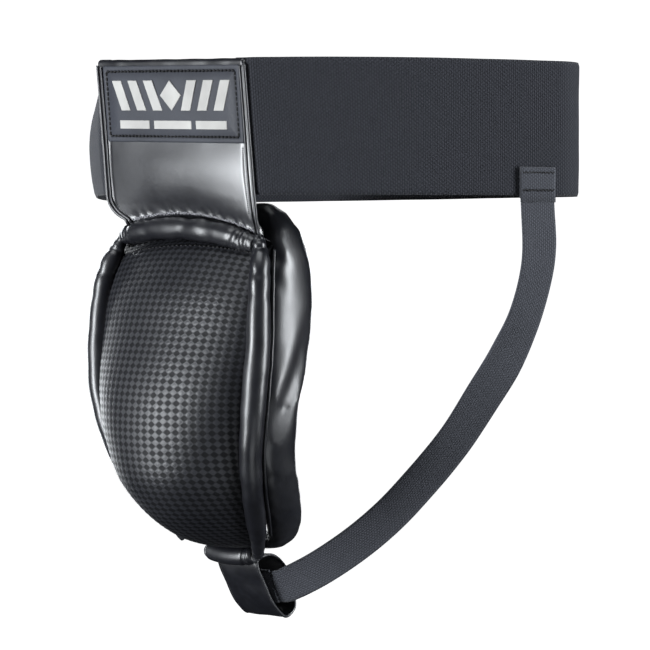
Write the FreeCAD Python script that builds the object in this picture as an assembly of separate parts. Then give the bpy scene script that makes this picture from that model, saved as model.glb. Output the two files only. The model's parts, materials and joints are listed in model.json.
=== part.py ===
import FreeCAD, Part
import math
import os
from FreeCAD import Vector

# Groin protector: a padded cup hanging from a wide elastic waistband, with two leg straps.
# Millimetres, +Z up, the wearer faces -Y. The origin is the centre of the waist loop,
# halfway up the waistband.

# ---- driving dimensions ----
BAND_H = 80.0  # waistband elastic width
BAND_T = 2.4  # waistband elastic thickness
FLAT_HALF = 63.0  # half width of the flat front of the waist loop
EDGE_R = 12.0  # bend beside the flat front
SIDE_R = 272.0  # shallow curve of each side
CORNER_R = 27.0  # bend at each rear corner
EDGE_TURN = 34.0  # heading after the front bend, degrees
SIDE_TURN = 72.0  # heading at the end of the side
CORNER_TURN = 175.0  # heading after the rear corner
SEAM_TUCK = 10.0  # how far each elastic end reaches in behind the front panel

SKIN_T = 1.3  # artificial leather
APRON_LEAN_R = 45.0  # bend that carries the panel back to the cup
APRON_DROP = 19.0  # how far the panel reaches below the waistband
LABEL_W = 118.0
LABEL_H = 46.0
LABEL_T = 1.6
LABEL_Z = 14.0  # height of the label's middle
STITCH_L = 3.4
STITCH_R = 0.35

ROLL_R = 6.0  # padded roll round the rim of the cup
PIPING_R = 0.9
GAP = 0.1  # between the layers of one padded body

STRAP_W = 22.5  # leg strap elastic
STRAP_T = 1.8
STRAP_END_H = 17.0  # folded end sewn on the waistband
TUNNEL_W = 33.0  # loop under the cup that the strap runs through
TUNNEL_T = 1.5

# Rim of the cup, from the top corner to the bottom corner:
# height, half width, distance behind the front of the waistband.
RIM = [
    (-66.0, 61.5, 11.0),
    (-95.0, 67.5, 3.5),
    (-125.0, 69.0, 1.5),
    (-165.0, 65.5, 1.0),
    (-190.0, 59.5, 4.5),
    (-215.0, 51.0, 14.0),
    (-236.0, 39.5, 29.0),
    (-250.0, 31.0, 39.0),
    (-259.0, 24.0, 46.0),
]
# How far the dome stands out in front of the rim: height, bulge.
DOME = [
    (-72.5, 0.0),
    (-77.5, 8.0),
    (-95.0, 17.0),
    (-125.0, 27.0),
    (-165.0, 38.0),
    (-190.0, 42.0),
    (-215.0, 45.0),
    (-234.0, 42.0),
    (-245.5, 31.0),
    (-252.0, 15.0),
    (-253.5, 0.0),
]
DOME_ARCH = 6.3  # rise of the dome's top edge at the middle
DOME_DROP = 1.2  # fall of its bottom edge at the middle
# Side cushion: height, outside of the rim line, width, depth behind the rim.
SIDE_PAD = [
    (-41.0, -9.0, 10.0, 7.0),
    (-46.0, -4.0, 15.0, 13.0),
    (-54.0, 0.5, 18.0, 22.0),
    (-65.0, 4.0, 21.0, 29.0),
    (-84.0, 5.5, 23.0, 36.5),
    (-103.0, 6.0, 24.0, 41.5),
    (-132.0, 6.0, 23.0, 38.5),
    (-167.0, 6.0, 22.0, 34.5),
    (-203.0, 6.0, 21.0, 33.0),
    (-225.0, 6.0, 20.0, 32.5),
    (-243.0, 5.0, 19.0, 30.0),
    (-254.0, 2.0, 15.0, 25.0),
    (-260.0, -2.0, 9.0, 17.0),
]
STRAP_START = 74.0  # how far behind the front the strap runs through the loop
STRAP_SWING = 18.0  # how far the strap swings back from the straight line to its anchor
# Right leg strap: how far along that line, height of its middle.
STRAP_PATH = [
    (0.0, -280.0),
    (0.03, -279.6),
    (0.08, -276.6),
    (0.12, -273.5),
    (0.25, -261.5),
    (0.45, -236.5),
    (0.57, -215.5),
    (0.69, -190.5),
    (0.80, -162.0),
    (0.89, -137.0),
    (0.96, -111.0),
    (1.0, -82.0),
    (1.0, -42.0),
]


def heading(degrees):
    a = math.radians(degrees)
    return Vector(math.cos(a), math.sin(a), 0)


def left_of(degrees):
    return heading(degrees + 90.0)


def walk_loop():
    """Arcs of the right half of the waist loop, from the flat front to the middle of the back."""
    arcs = []
    point = Vector(FLAT_HALF, 0, 0)
    turn = 0.0
    for radius, to in ((EDGE_R, EDGE_TURN), (SIDE_R, SIDE_TURN), (CORNER_R, CORNER_TURN)):
        centre = point + left_of(turn) * radius
        arcs.append((centre, radius, turn, to))
        point = centre - left_of(to) * radius
        turn = to
    back_r = point.x / math.sin(math.radians(180.0 - CORNER_TURN))
    arcs.append((point + left_of(turn) * back_r, back_r, turn, 180.0))
    depth = arcs[-1][0].y + back_r
    shift = Vector(0, -depth / 2.0, 0)
    return [(centre + shift, radius, start, end) for centre, radius, start, end in arcs], -depth / 2.0


LOOP, FRONT = walk_loop()


def arc_point(arc, turn, offset):
    centre, radius, _, _ = arc
    return centre - left_of(turn) * (radius + offset)


def arc_edge(arc, start, end, offset):
    mid = (start + end) / 2.0
    points = [arc_point(arc, turn, offset) for turn in (start, mid, end)]
    return Part.Arc(*points).toShape()


def mirror_x(shape):
    return shape.mirror(Vector(0, 0, 0), Vector(1, 0, 0))


def at_z(points, z):
    return [Vector(p.x, p.y, z) for p in points]


def band_wall(offset_in, offset_out, z_low, z_high):
    """Half of the waistband between two offsets of the loop, from its tucked end to the back."""
    start = FLAT_HALF - SEAM_TUCK
    outer = [Part.makeLine(Vector(start, FRONT - offset_out, 0), Vector(FLAT_HALF, FRONT - offset_out, 0))]
    inner = [Part.makeLine(Vector(start, FRONT - offset_in, 0), Vector(FLAT_HALF, FRONT - offset_in, 0))]
    for arc in LOOP:
        outer.append(arc_edge(arc, arc[2], arc[3], offset_out))
        inner.append(arc_edge(arc, arc[2], arc[3], offset_in))
    first = Part.makeLine(inner[0].Vertexes[0].Point, outer[0].Vertexes[0].Point)
    back = arc_point(LOOP[-1], 180.0, offset_out)
    last = Part.makeLine(back, arc_point(LOOP[-1], 180.0, offset_in))
    wire = Part.Wire(Part.__sortEdges__([first] + outer + [last] + inner))
    wall = Part.Face(wire).extrude(Vector(0, 0, z_high - z_low))
    wall.translate(Vector(0, 0, z_low))
    return wall


def panel_wall(offset_in, offset_out, half, z_low, z_high):
    """Front panel layer: the flat front with its bent edges, or only the flat when half is given."""
    if half is None:
        arc = LOOP[0]
        right_out = arc_edge(arc, 0.0, EDGE_TURN, offset_out)
        right_in = arc_edge(arc, 0.0, EDGE_TURN, offset_in)
        end = Part.makeLine(arc_point(arc, EDGE_TURN, offset_out), arc_point(arc, EDGE_TURN, offset_in))
        side = [right_out, right_in, end]
        side += [mirror_x(edge) for edge in side]
        half = FLAT_HALF
    else:
        end = Part.makeLine(Vector(half, FRONT - offset_out, 0), Vector(half, FRONT - offset_in, 0))
        side = [end, mirror_x(end)]
    for offset in (offset_in, offset_out):
        side.append(Part.makeLine(Vector(-half, FRONT - offset, 0), Vector(half, FRONT - offset, 0)))
    wall = Part.Face(Part.Wire(Part.__sortEdges__(side))).extrude(Vector(0, 0, z_high - z_low))
    wall.translate(Vector(0, 0, z_low))
    return wall


def apron(offset_in, offset_out, drop):
    """Lower part of a panel layer, curving back from the waistband's edge down to the cup."""
    low = -BAND_H / 2.0
    centre_y = FRONT + APRON_LEAN_R
    sweep = math.asin(drop / APRON_LEAN_R)

    def at(offset, angle):
        r = APRON_LEAN_R + offset
        return Vector(-FLAT_HALF, centre_y - r * math.cos(angle), low - r * math.sin(angle))

    outer = Part.Arc(at(offset_out, 0), at(offset_out, sweep / 2), at(offset_out, sweep)).toShape()
    inner = Part.Arc(at(offset_in, 0), at(offset_in, sweep / 2), at(offset_in, sweep)).toShape()
    top = Part.makeLine(at(offset_out, 0), at(offset_in, 0))
    bottom = Part.makeLine(at(offset_out, sweep), at(offset_in, sweep))
    profile = Part.Face(Part.Wire(Part.__sortEdges__([outer, inner, top, bottom])))
    sheet = profile.extrude(Vector(2 * FLAT_HALF, 0, 0))
    # The bottom edge is arched to follow the top of the cup.
    left = Vector(-FLAT_HALF, FRONT - 20, low + 1)
    right = Vector(FLAT_HALF, FRONT - 20, low + 1)
    left_low = Vector(-FLAT_HALF + 6, FRONT - 20, low - drop)
    right_low = Vector(FLAT_HALF - 6, FRONT - 20, low - drop)
    arch = Part.Arc(left_low, Vector(0, FRONT - 20, low - drop + 11), right_low).toShape()
    edges = [Part.makeLine(left, right), Part.makeLine(right, right_low), arch, Part.makeLine(left_low, left)]
    outline = Part.Face(Part.Wire(Part.__sortEdges__(edges))).extrude(Vector(0, 60, 0))
    return sheet.common(outline)


def panel_layer(offset_in, offset_out, half, drop):
    upper = panel_wall(offset_in, offset_out, half, -BAND_H / 2.0, BAND_H / 2.0)
    return upper.fuse(apron(offset_in, offset_out, drop)).removeSplitter()


def stations(table, column):
    """A smooth curve through one column of a table, as a function of height."""
    curve = Part.BSplineCurve()
    curve.interpolate([Vector(row[column], 0, row[0]) for row in table])

    def value(z):
        low, high = curve.FirstParameter, curve.LastParameter
        for _ in range(40):
            mid = (low + high) / 2.0
            if curve.value(mid).z > z:
                low = mid
            else:
                high = mid
        return curve.value((low + high) / 2.0).x

    return value


rim_half = stations(RIM, 1)
rim_back = stations(RIM, 2)


def dome_patch(inset):
    """Surface of the dome, moved in by an inset: its grid runs across and then down."""
    middle = (DOME[0][0] + DOME[-1][0]) / 2.0
    deepest = max(row[1] for row in DOME)
    reach = (DOME[0][0] - DOME[-1][0]) / 2.0
    grid = []
    for z, bulge in DOME:
        low = (DOME[0][0] - z) / (2.0 * reach)
        level = middle + (z - middle) * (reach - inset) / reach
        half = rim_half(z) - ROLL_R - 0.4 - inset
        base = FRONT + rim_back(z) + 4.0
        out = bulge * (deepest - inset) / deepest
        row = []
        for step in range(-6, 7):
            a = math.radians(step * 15.0)
            lift = DOME_ARCH * math.cos(a) ** 2 * (1 - low) ** 3 - DOME_DROP * math.cos(a) ** 2 * low**6
            row.append(Vector(half * math.sin(a), base - out * math.cos(a), level + lift))
        grid.append(row)
    surface = Part.BSplineSurface()
    surface.interpolate(grid)
    return surface


def between(outer, inner):
    """A closed solid between two patches whose edges run side by side."""
    faces = [outer.toShape(), inner.toShape()]
    low_u, high_u, low_v, high_v = outer.bounds()
    for pick in (lambda s: s.uIso(s.bounds()[0]), lambda s: s.uIso(s.bounds()[1]),
                 lambda s: s.vIso(s.bounds()[2]), lambda s: s.vIso(s.bounds()[3])):
        faces.append(Part.makeRuledSurface(pick(outer).toShape(), pick(inner).toShape()))
    shell = Part.makeShell(faces)
    shell.sewShape()
    solid = Part.makeSolid(Part.Shell(shell.Faces))
    if solid.Volume < 0:
        solid.reverse()
    return solid


def tube(points, radii):
    """A round bar lofted along points."""
    rings = []
    last = len(points) - 1
    for i, point in enumerate(points):
        along = points[min(i + 1, last)] - points[max(i - 1, 0)]
        rings.append(Part.Wire(Part.makeCircle(radii[i], point, along)))
    return Part.makeLoft(rings, True, False)


def rim_point(z, out, forward):
    return Vector(rim_half(z) + out, FRONT + rim_back(z) - forward, z)


def side_roll():
    levels = [-63.0, -69.0, -80.0, -95.0, -115.0, -140.0, -165.0, -185.0, -203.0, -220.0, -235.0, -246.0, -254.0]
    points = [rim_point(min(z, -66.0), 0, 2.0) for z in levels]
    points[0] = rim_point(-66.0, -1.5, 1.0) + Vector(0, 0, 3)
    radii = [ROLL_R - 1.6] + [ROLL_R] * 7 + [ROLL_R - thinner for thinner in (0.2, 0.6, 0.9, 1.2, 1.5)]
    return tube(points, radii)


def cross_roll(reach, edge_z, rise, behind, bow, radius):
    """A roll running across the cup, arched up at the middle by rise."""
    points = []
    for step in range(-4, 5):
        x = reach * step / 4.0
        t = 1 - (step / 4.0) ** 2
        points.append(Vector(x, FRONT + behind - bow * t, edge_z + rise * t))
    return tube(points, [radius] * len(points))


def rounded_box_wire(x_low, x_high, y_low, y_high, radius, z):
    r = min(radius, (x_high - x_low) * 0.45, (y_high - y_low) * 0.45)
    k = r * (1 - math.sqrt(0.5))
    corners = [(x_low, y_low, 1, 1), (x_high, y_low, -1, 1), (x_high, y_high, -1, -1), (x_low, y_high, 1, -1)]
    edges = []
    ends = []
    for i, (x, y, sx, sy) in enumerate(corners):
        a = Vector(x + sx * r, y, z)
        b = Vector(x, y + sy * r, z)
        m = Vector(x + sx * k, y + sy * k, z)
        first, second = (b, a) if i % 2 == 0 else (a, b)
        edges.append(Part.Arc(first, m, second).toShape())
        ends.append((first, second))
    wire = []
    for i in range(4):
        wire.append(edges[i])
        wire.append(Part.makeLine(ends[i][1], ends[(i + 1) % 4][0]))
    return Part.Wire(wire)


def side_pad():
    wires = []
    for z, outside, width, depth in SIDE_PAD:
        level = min(z, RIM[0][0])
        x_high = rim_half(level) + outside
        y_low = FRONT + rim_back(level) + 5.2 + max(0.0, (z - RIM[0][0]) * 0.35)
        wires.append(rounded_box_wire(x_high - width, x_high, y_low, y_low + depth, 8.0, z))
    return Part.makeLoft(wires, True, False)


def cross_pad(half, y_low, y_high, z_low, z_high):
    """A short cushion running across, between the side cushions."""
    wire = rounded_box_wire(y_low, y_high, z_low, z_high, 6.0, 0)
    face = Part.Face(wire)
    pad = face.extrude(Vector(0, 0, 2 * half))
    # Profile axes (x, y, z) become (Y, Z, X).
    turn = FreeCAD.Matrix(0, 0, 1, -half, 1, 0, 0, 0, 0, 1, 0, 0)
    return pad.transformGeometry(turn)


def stitch(point, along):
    a = point - along * (STITCH_L / 2.0)
    return Part.makeCylinder(STITCH_R, STITCH_L, a, along)


def stitch_line(start, end, pitch):
    along = end - start
    count = max(1, int(round(along.Length / pitch)))
    unit = Vector(along)
    unit.normalize()
    return [stitch(start + along * ((i + 0.5) / count), unit) for i in range(count)]


def loop_edge_strip(offset_in, offset_out, z_low, z_high):
    """Binding on the bent right edge of the front panel."""
    arc = LOOP[0]
    edges = [arc_edge(arc, 4.0, EDGE_TURN, offset) for offset in (offset_in, offset_out)]
    for turn in (4.0, EDGE_TURN):
        edges.append(Part.makeLine(arc_point(arc, turn, offset_in), arc_point(arc, turn, offset_out)))
    strip = Part.Face(Part.Wire(Part.__sortEdges__(edges))).extrude(Vector(0, 0, z_high - z_low))
    strip.translate(Vector(0, 0, z_low))
    return strip


def top_binding():
    """Rolled edge over the top of the front panel."""
    z = BAND_H / 2.0
    outer = rounded_box_wire(FRONT - 4.2, FRONT + 4.0, z - 2.8, z + 2.6, 2.4, 0)
    inner = rounded_box_wire(FRONT - 3.0, FRONT + 2.8, z - 6.0, z + 0.2, 0.2, 0)
    turn = FreeCAD.Matrix(0, 0, 1, -FLAT_HALF + 1, 1, 0, 0, 0, 0, 1, 0, 0)
    length = Vector(0, 0, 2 * (FLAT_HALF - 1))
    bar = Part.Face(outer).extrude(length).cut(Part.Face(inner).extrude(length))
    return bar.transformGeometry(turn)


def emblem():
    """Generic mark on the label: a diamond between leaning bars, over a broken line."""
    y = FRONT - BAND_T / 2.0 - GAP - SKIN_T - 0.2 - LABEL_T
    outlines = [[(0, 14), (9, 5), (0, -4), (-9, 5)]]
    for side in (-1, 1):
        for inner in (8.0, 22.0, 36.0):
            bar = [(inner + 7, 14), (inner + 15, 14), (inner + 8, -4), (inner, -4)]
            outlines.append([(side * x, z) for x, z in bar])
    for middle, half in ((-33.0, 13.0), (0.0, 16.0), (33.0, 13.0)):
        outlines.append([(middle - half, -10), (middle + half, -10), (middle + half, -15), (middle - half, -15)])
    parts = []
    for outline in outlines:
        corners = [Vector(x, y - 1.0, LABEL_Z + z) for x, z in outline]
        parts.append(Part.Face(Part.makePolygon(corners + corners[:1])).extrude(Vector(0, 1.0, 0)))
    return Part.makeCompound(parts)


def strap_anchor():
    """Where the right leg strap is sewn on: middle of the strap on the band, and its heading."""
    turn = SIDE_TURN - 3.2
    point = arc_point(LOOP[1], turn, BAND_T / 2.0)
    return point, turn


def strap_stations():
    """Middle, direction and width direction of the right leg strap at each station."""
    anchor, turn = strap_anchor()
    outward = -left_of(turn)
    end = anchor + outward * (0.4 + STRAP_T / 2.0)
    start = Vector(TUNNEL_W / 2.0 + 1.0, FRONT + STRAP_START, 0)
    middles = []
    for t, z in STRAP_PATH:
        back = STRAP_SWING * math.sin(math.pi * t) ** 1.3
        x = start.x + (end.x - start.x) * t - 0.967 * back
        y = start.y + (end.y - start.y) * t + back
        middles.append(Vector(x, y, z))
    out = []
    last = len(middles) - 1
    for i, middle in enumerate(middles):
        along = middles[min(i + 1, last)] - middles[max(i - 1, 0)]
        along.normalize()
        t = i / last
        face = Vector(0, -1, 0) * (1 - t) ** 2 + outward * (1 - (1 - t) ** 2)
        across = along.cross(face)
        across.normalize()
        face = across.cross(along)
        out.append((middle, face, across))
    return out


def leg_strap():
    wires = []
    for middle, face, across in strap_stations():
        a = across * (STRAP_W / 2.0)
        n = face * (STRAP_T / 2.0)
        corners = [middle + a + n, middle - a + n, middle - a - n, middle + a - n]
        wires.append(Part.makePolygon(corners + corners[:1]))
    return Part.makeLoft(wires, True, False)


def on_band(width, thick, lift, z_low, z_high):
    """A flat block lying on the waistband at the strap's anchor."""
    anchor, turn = strap_anchor()
    along = heading(turn)
    outward = -left_of(turn)
    a = anchor - along * (width / 2.0) + outward * lift
    corners = [a, a + along * width, a + along * width + outward * thick, a + outward * thick]
    block = Part.Face(Part.makePolygon(at_z(corners + corners[:1], z_low)))
    return block.extrude(Vector(0, 0, z_high - z_low))


def strap_tacks():
    """Two rows of bar-tack stitches across the folded strap end."""
    anchor, turn = strap_anchor()
    along = heading(turn)
    outward = -left_of(turn)
    tacks = []
    for z in (-26.5, -37.0):
        centre = anchor + outward * (0.4 + 2 * STRAP_T + 0.2 + 0.6) + Vector(0, 0, z)
        tacks += stitch_line(centre - along * 11.0, centre + along * 11.0, STITCH_L)
    return Part.makeCompound(tacks)


def tunnel_profile(inset):
    """Drop-shaped section of the loop under the cup, in its Y-Z plane."""
    points = [(53, -267), (59, -281), (68, -294), (76, -300), (83, -295), (85, -281), (80, -268), (66, -263)]
    centre = Vector(0, FRONT + 73, -281)
    ring = []
    for y, z in points:
        p = Vector(0, FRONT + y, z)
        radius = (p - centre).Length
        ring.append(centre + (p - centre) * ((radius - inset) / radius))
    curve = Part.BSplineCurve()
    curve.interpolate(ring, PeriodicFlag=True)
    return Part.Face(Part.Wire(curve.toShape()))


def strap_tunnel():
    length = Vector(TUNNEL_W, 0, 0)
    loop = tunnel_profile(0).extrude(length).cut(tunnel_profile(TUNNEL_T).extrude(length))
    loop.translate(Vector(-TUNNEL_W / 2.0, 0, 0))
    return loop


def seam_zigzag():
    """Zig-zag thread along the foot of the front panel."""
    threads = []
    low = -BAND_H / 2.0
    count = 26
    points = []
    for i in range(count + 1):
        x = -50.0 + 100.0 * i / count
        arch = low - APRON_DROP + 11.0 * (1 - (x / 57.0) ** 2) + 5.0
        z = arch + (1.1 if i % 2 else -1.1)
        offset = BAND_T / 2.0 + GAP + SKIN_T + 0.5
        angle = math.asin((low - z) / (APRON_LEAN_R + offset)) if z < low else 0.0
        y = FRONT + APRON_LEAN_R - (APRON_LEAN_R + offset) * math.cos(angle)
        points.append(Vector(x, y, z))
    for a, b in zip(points, points[1:]):
        threads.append(Part.makeCylinder(STITCH_R, (b - a).Length * 0.9, a, b - a))
    return Part.makeCompound(threads)


def rim_stitches():
    """A row of stitches on the dome, just under the top roll."""
    stitches = []
    surface = dome_patch(0.0)
    low_u, high_u, low_v, high_v = surface.bounds()
    u = low_u + (high_u - low_u) * 0.045
    count = 26
    for i in range(count):
        v = low_v + (high_v - low_v) * (0.14 + 0.72 * i / (count - 1))
        point = surface.value(u, v)
        normal = surface.normal(u, v)
        if normal.y > 0:
            normal = -normal
        along = surface.value(u, v + 0.01) - surface.value(u, v - 0.01)
        along.normalize()
        stitches.append(stitch(point + normal * 0.55, along))
    return Part.makeCompound(stitches)


def build():
    low = -BAND_H / 2.0
    high = BAND_H / 2.0
    skin_in = BAND_T / 2.0 + GAP
    skin_out = skin_in + SKIN_T
    shapes = {}

    half_band = band_wall(-BAND_T / 2.0, BAND_T / 2.0, low, high)
    shapes["waistband_elastic"] = half_band.fuse(mirror_x(half_band)).removeSplitter()
    shapes["front_panel_outer"] = panel_layer(skin_in, skin_out, None, APRON_DROP)
    foam_half = FLAT_HALF - SEAM_TUCK - 0.5
    shapes["front_panel_foam"] = panel_wall(-BAND_T / 2.0, BAND_T / 2.0, foam_half, low, high)
    shapes["front_panel_lining"] = panel_wall(-skin_out, -skin_in, None, low, high)
    shapes["panel_binding_top"] = top_binding()
    binding = loop_edge_strip(skin_out + GAP, skin_out + 1.3, low, high - 5.0)
    shapes["panel_binding_right"] = binding
    shapes["panel_binding_left"] = mirror_x(binding)
    shapes["label_patch"] = Part.makeBox(
        LABEL_W, LABEL_T, LABEL_H,
        Vector(-LABEL_W / 2.0, FRONT - skin_out - 0.1 - LABEL_T, LABEL_Z - LABEL_H / 2.0))
    shapes["label_emblem"] = emblem()
    y = FRONT - skin_out - 0.1 - LABEL_T - STITCH_R - 0.05
    x = LABEL_W / 2.0 - 4.0
    z = LABEL_H / 2.0 - 3.0
    corners = [Vector(sx * x, y, LABEL_Z + sz * z) for sx, sz in ((-1, -1), (1, -1), (1, 1), (-1, 1))]
    sewing = []
    for i in range(4):
        sewing += stitch_line(corners[i], corners[(i + 1) % 4], 5.0)
    shapes["label_stitching"] = Part.makeCompound(sewing)
    shapes["panel_seam_stitching"] = seam_zigzag()

    layers = (("cup_cover", 0.0, 1.4), ("cup_shell", 1.5, 4.5), ("cup_foam", 4.6, 10.0), ("cup_lining", 10.1, 11.1))
    for name, outer, inner in layers:
        shapes[name] = between(dome_patch(outer), dome_patch(inner))
    shapes["cup_rim_stitching"] = rim_stitches()
    shapes["rim_roll_top"] = cross_roll(53.0, -66.5, 7.0, 9.5, 2.0, ROLL_R)
    shapes["rim_roll_bottom"] = cross_roll(16.5, -259.5, -1.8, 46.0, 2.0, ROLL_R - 0.6)
    roll = side_roll()
    shapes["rim_roll_right"] = roll
    shapes["rim_roll_left"] = mirror_x(roll)
    piping_levels = [-66.0, -80.0, -95.0, -115.0, -140.0, -165.0, -185.0, -203.0, -220.0, -235.0, -247.0]
    piping_points = [rim_point(z, 5.4, -3.9) for z in piping_levels]
    piping = tube(piping_points, [PIPING_R] * len(piping_points))
    shapes["rim_piping_right"] = piping
    shapes["rim_piping_left"] = mirror_x(piping)
    pad = side_pad()
    shapes["side_cushion_right"] = pad
    shapes["side_cushion_left"] = mirror_x(pad)
    shapes["top_cushion"] = cross_pad(38.0, FRONT + 17.0, FRONT + 33.0, -64.0, -48.0)
    shapes["bottom_cushion"] = cross_pad(12.0, FRONT + 53.0, FRONT + 76.0, -256.0, -240.0)

    shapes["strap_tunnel"] = strap_tunnel()
    shapes["strap_in_tunnel"] = Part.makeBox(
        TUNNEL_W - 1.4, STRAP_T, STRAP_W - 1.0,
        Vector(-(TUNNEL_W - 1.4) / 2.0, FRONT + STRAP_START - STRAP_T / 2.0, -281.0 - (STRAP_W - 1.0) / 2.0))
    strap = leg_strap()
    shapes["leg_strap_right"] = strap
    shapes["leg_strap_left"] = mirror_x(strap)
    end_block = on_band(STRAP_W + 1.0, 2 * STRAP_T + 0.2, 0.4, low - 0.5, low - 0.5 + STRAP_END_H)
    shapes["strap_end_right"] = end_block
    shapes["strap_end_left"] = mirror_x(end_block)
    tacks = strap_tacks()
    shapes["strap_tacks_right"] = tacks
    shapes["strap_tacks_left"] = mirror_x(tacks)
    return shapes


os.makedirs("parts", exist_ok=True)
for name, shape in build().items():
    shape.exportStep("parts/" + name + ".step")
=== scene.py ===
import json
import math

import bpy
import numpy as np
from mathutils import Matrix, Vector, noise

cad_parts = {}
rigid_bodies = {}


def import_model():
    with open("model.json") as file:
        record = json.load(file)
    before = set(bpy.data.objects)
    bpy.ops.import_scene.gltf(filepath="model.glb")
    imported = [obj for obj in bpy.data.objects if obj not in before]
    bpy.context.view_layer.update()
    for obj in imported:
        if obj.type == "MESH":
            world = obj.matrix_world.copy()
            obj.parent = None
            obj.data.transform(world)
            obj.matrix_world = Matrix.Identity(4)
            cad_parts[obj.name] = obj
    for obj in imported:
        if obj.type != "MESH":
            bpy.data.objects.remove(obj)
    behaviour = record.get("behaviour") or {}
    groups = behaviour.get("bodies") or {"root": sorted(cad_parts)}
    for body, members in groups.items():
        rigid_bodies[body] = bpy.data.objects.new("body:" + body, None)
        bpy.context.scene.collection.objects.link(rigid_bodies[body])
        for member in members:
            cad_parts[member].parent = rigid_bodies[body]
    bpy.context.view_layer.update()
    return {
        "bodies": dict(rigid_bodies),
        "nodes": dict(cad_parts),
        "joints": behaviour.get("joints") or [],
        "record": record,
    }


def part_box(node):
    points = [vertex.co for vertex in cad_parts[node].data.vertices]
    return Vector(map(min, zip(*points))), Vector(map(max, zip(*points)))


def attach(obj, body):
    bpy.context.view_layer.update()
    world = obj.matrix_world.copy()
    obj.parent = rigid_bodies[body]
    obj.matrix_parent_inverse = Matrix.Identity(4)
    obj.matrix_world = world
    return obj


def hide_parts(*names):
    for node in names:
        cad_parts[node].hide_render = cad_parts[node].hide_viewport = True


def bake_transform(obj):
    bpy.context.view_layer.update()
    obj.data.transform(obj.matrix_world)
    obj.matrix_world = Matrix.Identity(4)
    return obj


# Looks of a groin protector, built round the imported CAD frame. Metres, +Z up, the cup faces -Y.

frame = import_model()
MM = 0.001

# ---- dimensions shared with the CAD model, in millimetres ----
BAND_H = 80.0
BAND_T = 2.4
FLAT_HALF = 63.0
EDGE_R, SIDE_R, CORNER_R = 12.0, 272.0, 27.0
EDGE_TURN, SIDE_TURN, CORNER_TURN = 34.0, 72.0, 175.0
APRON_LEAN_R = 45.0
ROLL_R = 6.0
STRAP_W, STRAP_T = 22.5, 1.8
TUNNEL_W = 33.0
TUNNEL_STRAP = 64.8  # middle of the strap inside the loop, behind the front
TUNNEL_FACE = np.array([0, -0.917, -0.4])  # the way that strap faces
LABEL_W, LABEL_X, LABEL_Z = 118.0, 1.2, 12.8
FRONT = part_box("label_patch")[0].y / MM + 4.3  # middle of the elastic at the flat front
# Rim of the cup: height, half width, distance behind the front.
RIM = [
    (-66.0, 61.5, 11.0), (-95.0, 67.5, 3.5), (-125.0, 69.0, 1.5), (-165.0, 65.5, 1.0), (-190.0, 59.5, 4.5),
    (-215.0, 51.0, 14.0), (-236.0, 39.5, 29.0), (-250.0, 31.0, 39.0), (-259.0, 24.0, 46.0),
]
# Dome: height, how far it stands out in front of the rim.
DOME = [
    (-72.5, 0.0), (-77.5, 8.0), (-95.0, 17.0), (-125.0, 27.0), (-165.0, 38.0), (-190.0, 42.0),
    (-215.0, 45.0), (-234.0, 42.0), (-245.5, 31.0), (-252.0, 15.0), (-253.5, 0.0),
]
DOME_ARCH, DOME_DROP = 6.3, 1.2
CELL, CELL_STRETCH = 3.05, 1.3  # embossed cell of the dome cover, and how much wider it is than high
# Body-side cushion, from the middle of the top round to the middle of the bottom:
# outer edge x and z, front face behind the front of the waistband, depth, width.
RING = [
    (0.0, -48.0, 17.0, 16.0, 14.0), (26.0, -46.0, 16.5, 15.0, 15.0), (43.0, -42.5, 15.8, 15.0, 16.0),
    (55.0, -43.5, 15.4, 18.0, 17.0), (63.5, -51.0, 15.6, 23.0, 19.0), (69.5, -64.0, 14.2, 30.0, 21.0),
    (73.5, -82.0, 10.8, 36.5, 23.0), (75.0, -103.0, 7.6, 41.0, 24.0), (75.0, -132.0, 6.0, 38.5, 23.0),
    (71.0, -167.0, 5.6, 34.5, 22.0), (63.5, -200.0, 11.5, 34.0, 21.0), (53.0, -227.0, 26.0, 34.0, 20.0),
    (41.5, -245.0, 39.5, 30.0, 18.0), (30.0, -255.5, 47.5, 23.0, 15.0), (16.0, -258.5, 51.0, 19.0, 14.0),
    (0.0, -257.5, 52.0, 18.0, 14.0),
]
# Leg strap: share of its straight plan line, height of its middle.
STRAP_PATH = [
    (0.0, -280.0), (0.03, -279.6), (0.08, -276.6), (0.12, -273.5), (0.25, -261.5), (0.45, -236.5),
    (0.57, -215.5), (0.69, -190.5), (0.80, -162.0), (0.89, -137.0), (0.96, -111.0), (1.0, -82.0),
    (1.0, -42.0),
]


# ---- curves ----
def hermite(at, values, slope, x):
    """A smooth curve through values at the places at, with the given slopes, read at x."""
    i = int(min(max(np.searchsorted(at, x) - 1, 0), len(at) - 2))
    h = at[i + 1] - at[i]
    t = (x - at[i]) / h
    return (values[i] * (1 + 2 * t) * (1 - t) ** 2 + slope[i] * h * t * (1 - t) ** 2
            + values[i + 1] * t * t * (3 - 2 * t) + slope[i + 1] * h * t * t * (t - 1))


def through(points):
    """A smooth curve through the points, as a function of 0 to 1 along its chords."""
    p = np.array(points, float)
    chord = np.linalg.norm(np.diff(p, axis=0), axis=1)
    at = np.concatenate([[0], np.cumsum(chord)]) / chord.sum()
    slope = np.gradient(p, at, axis=0)
    return lambda u: hermite(at, p, slope, min(max(u, 0.0), 1.0))


def column(table, index):
    """One column of a table as a smooth function of height."""
    depth = [-row[0] for row in table]
    values = [row[index] for row in table]
    slope = np.gradient(values, depth)
    return lambda z: hermite(depth, values, slope, min(max(-z, depth[0]), depth[-1]))


rim_half = column(RIM, 1)
rim_back = column(RIM, 2)


def left_of(degrees):
    a = math.radians(degrees + 90.0)
    return np.array([math.cos(a), math.sin(a)])


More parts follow.
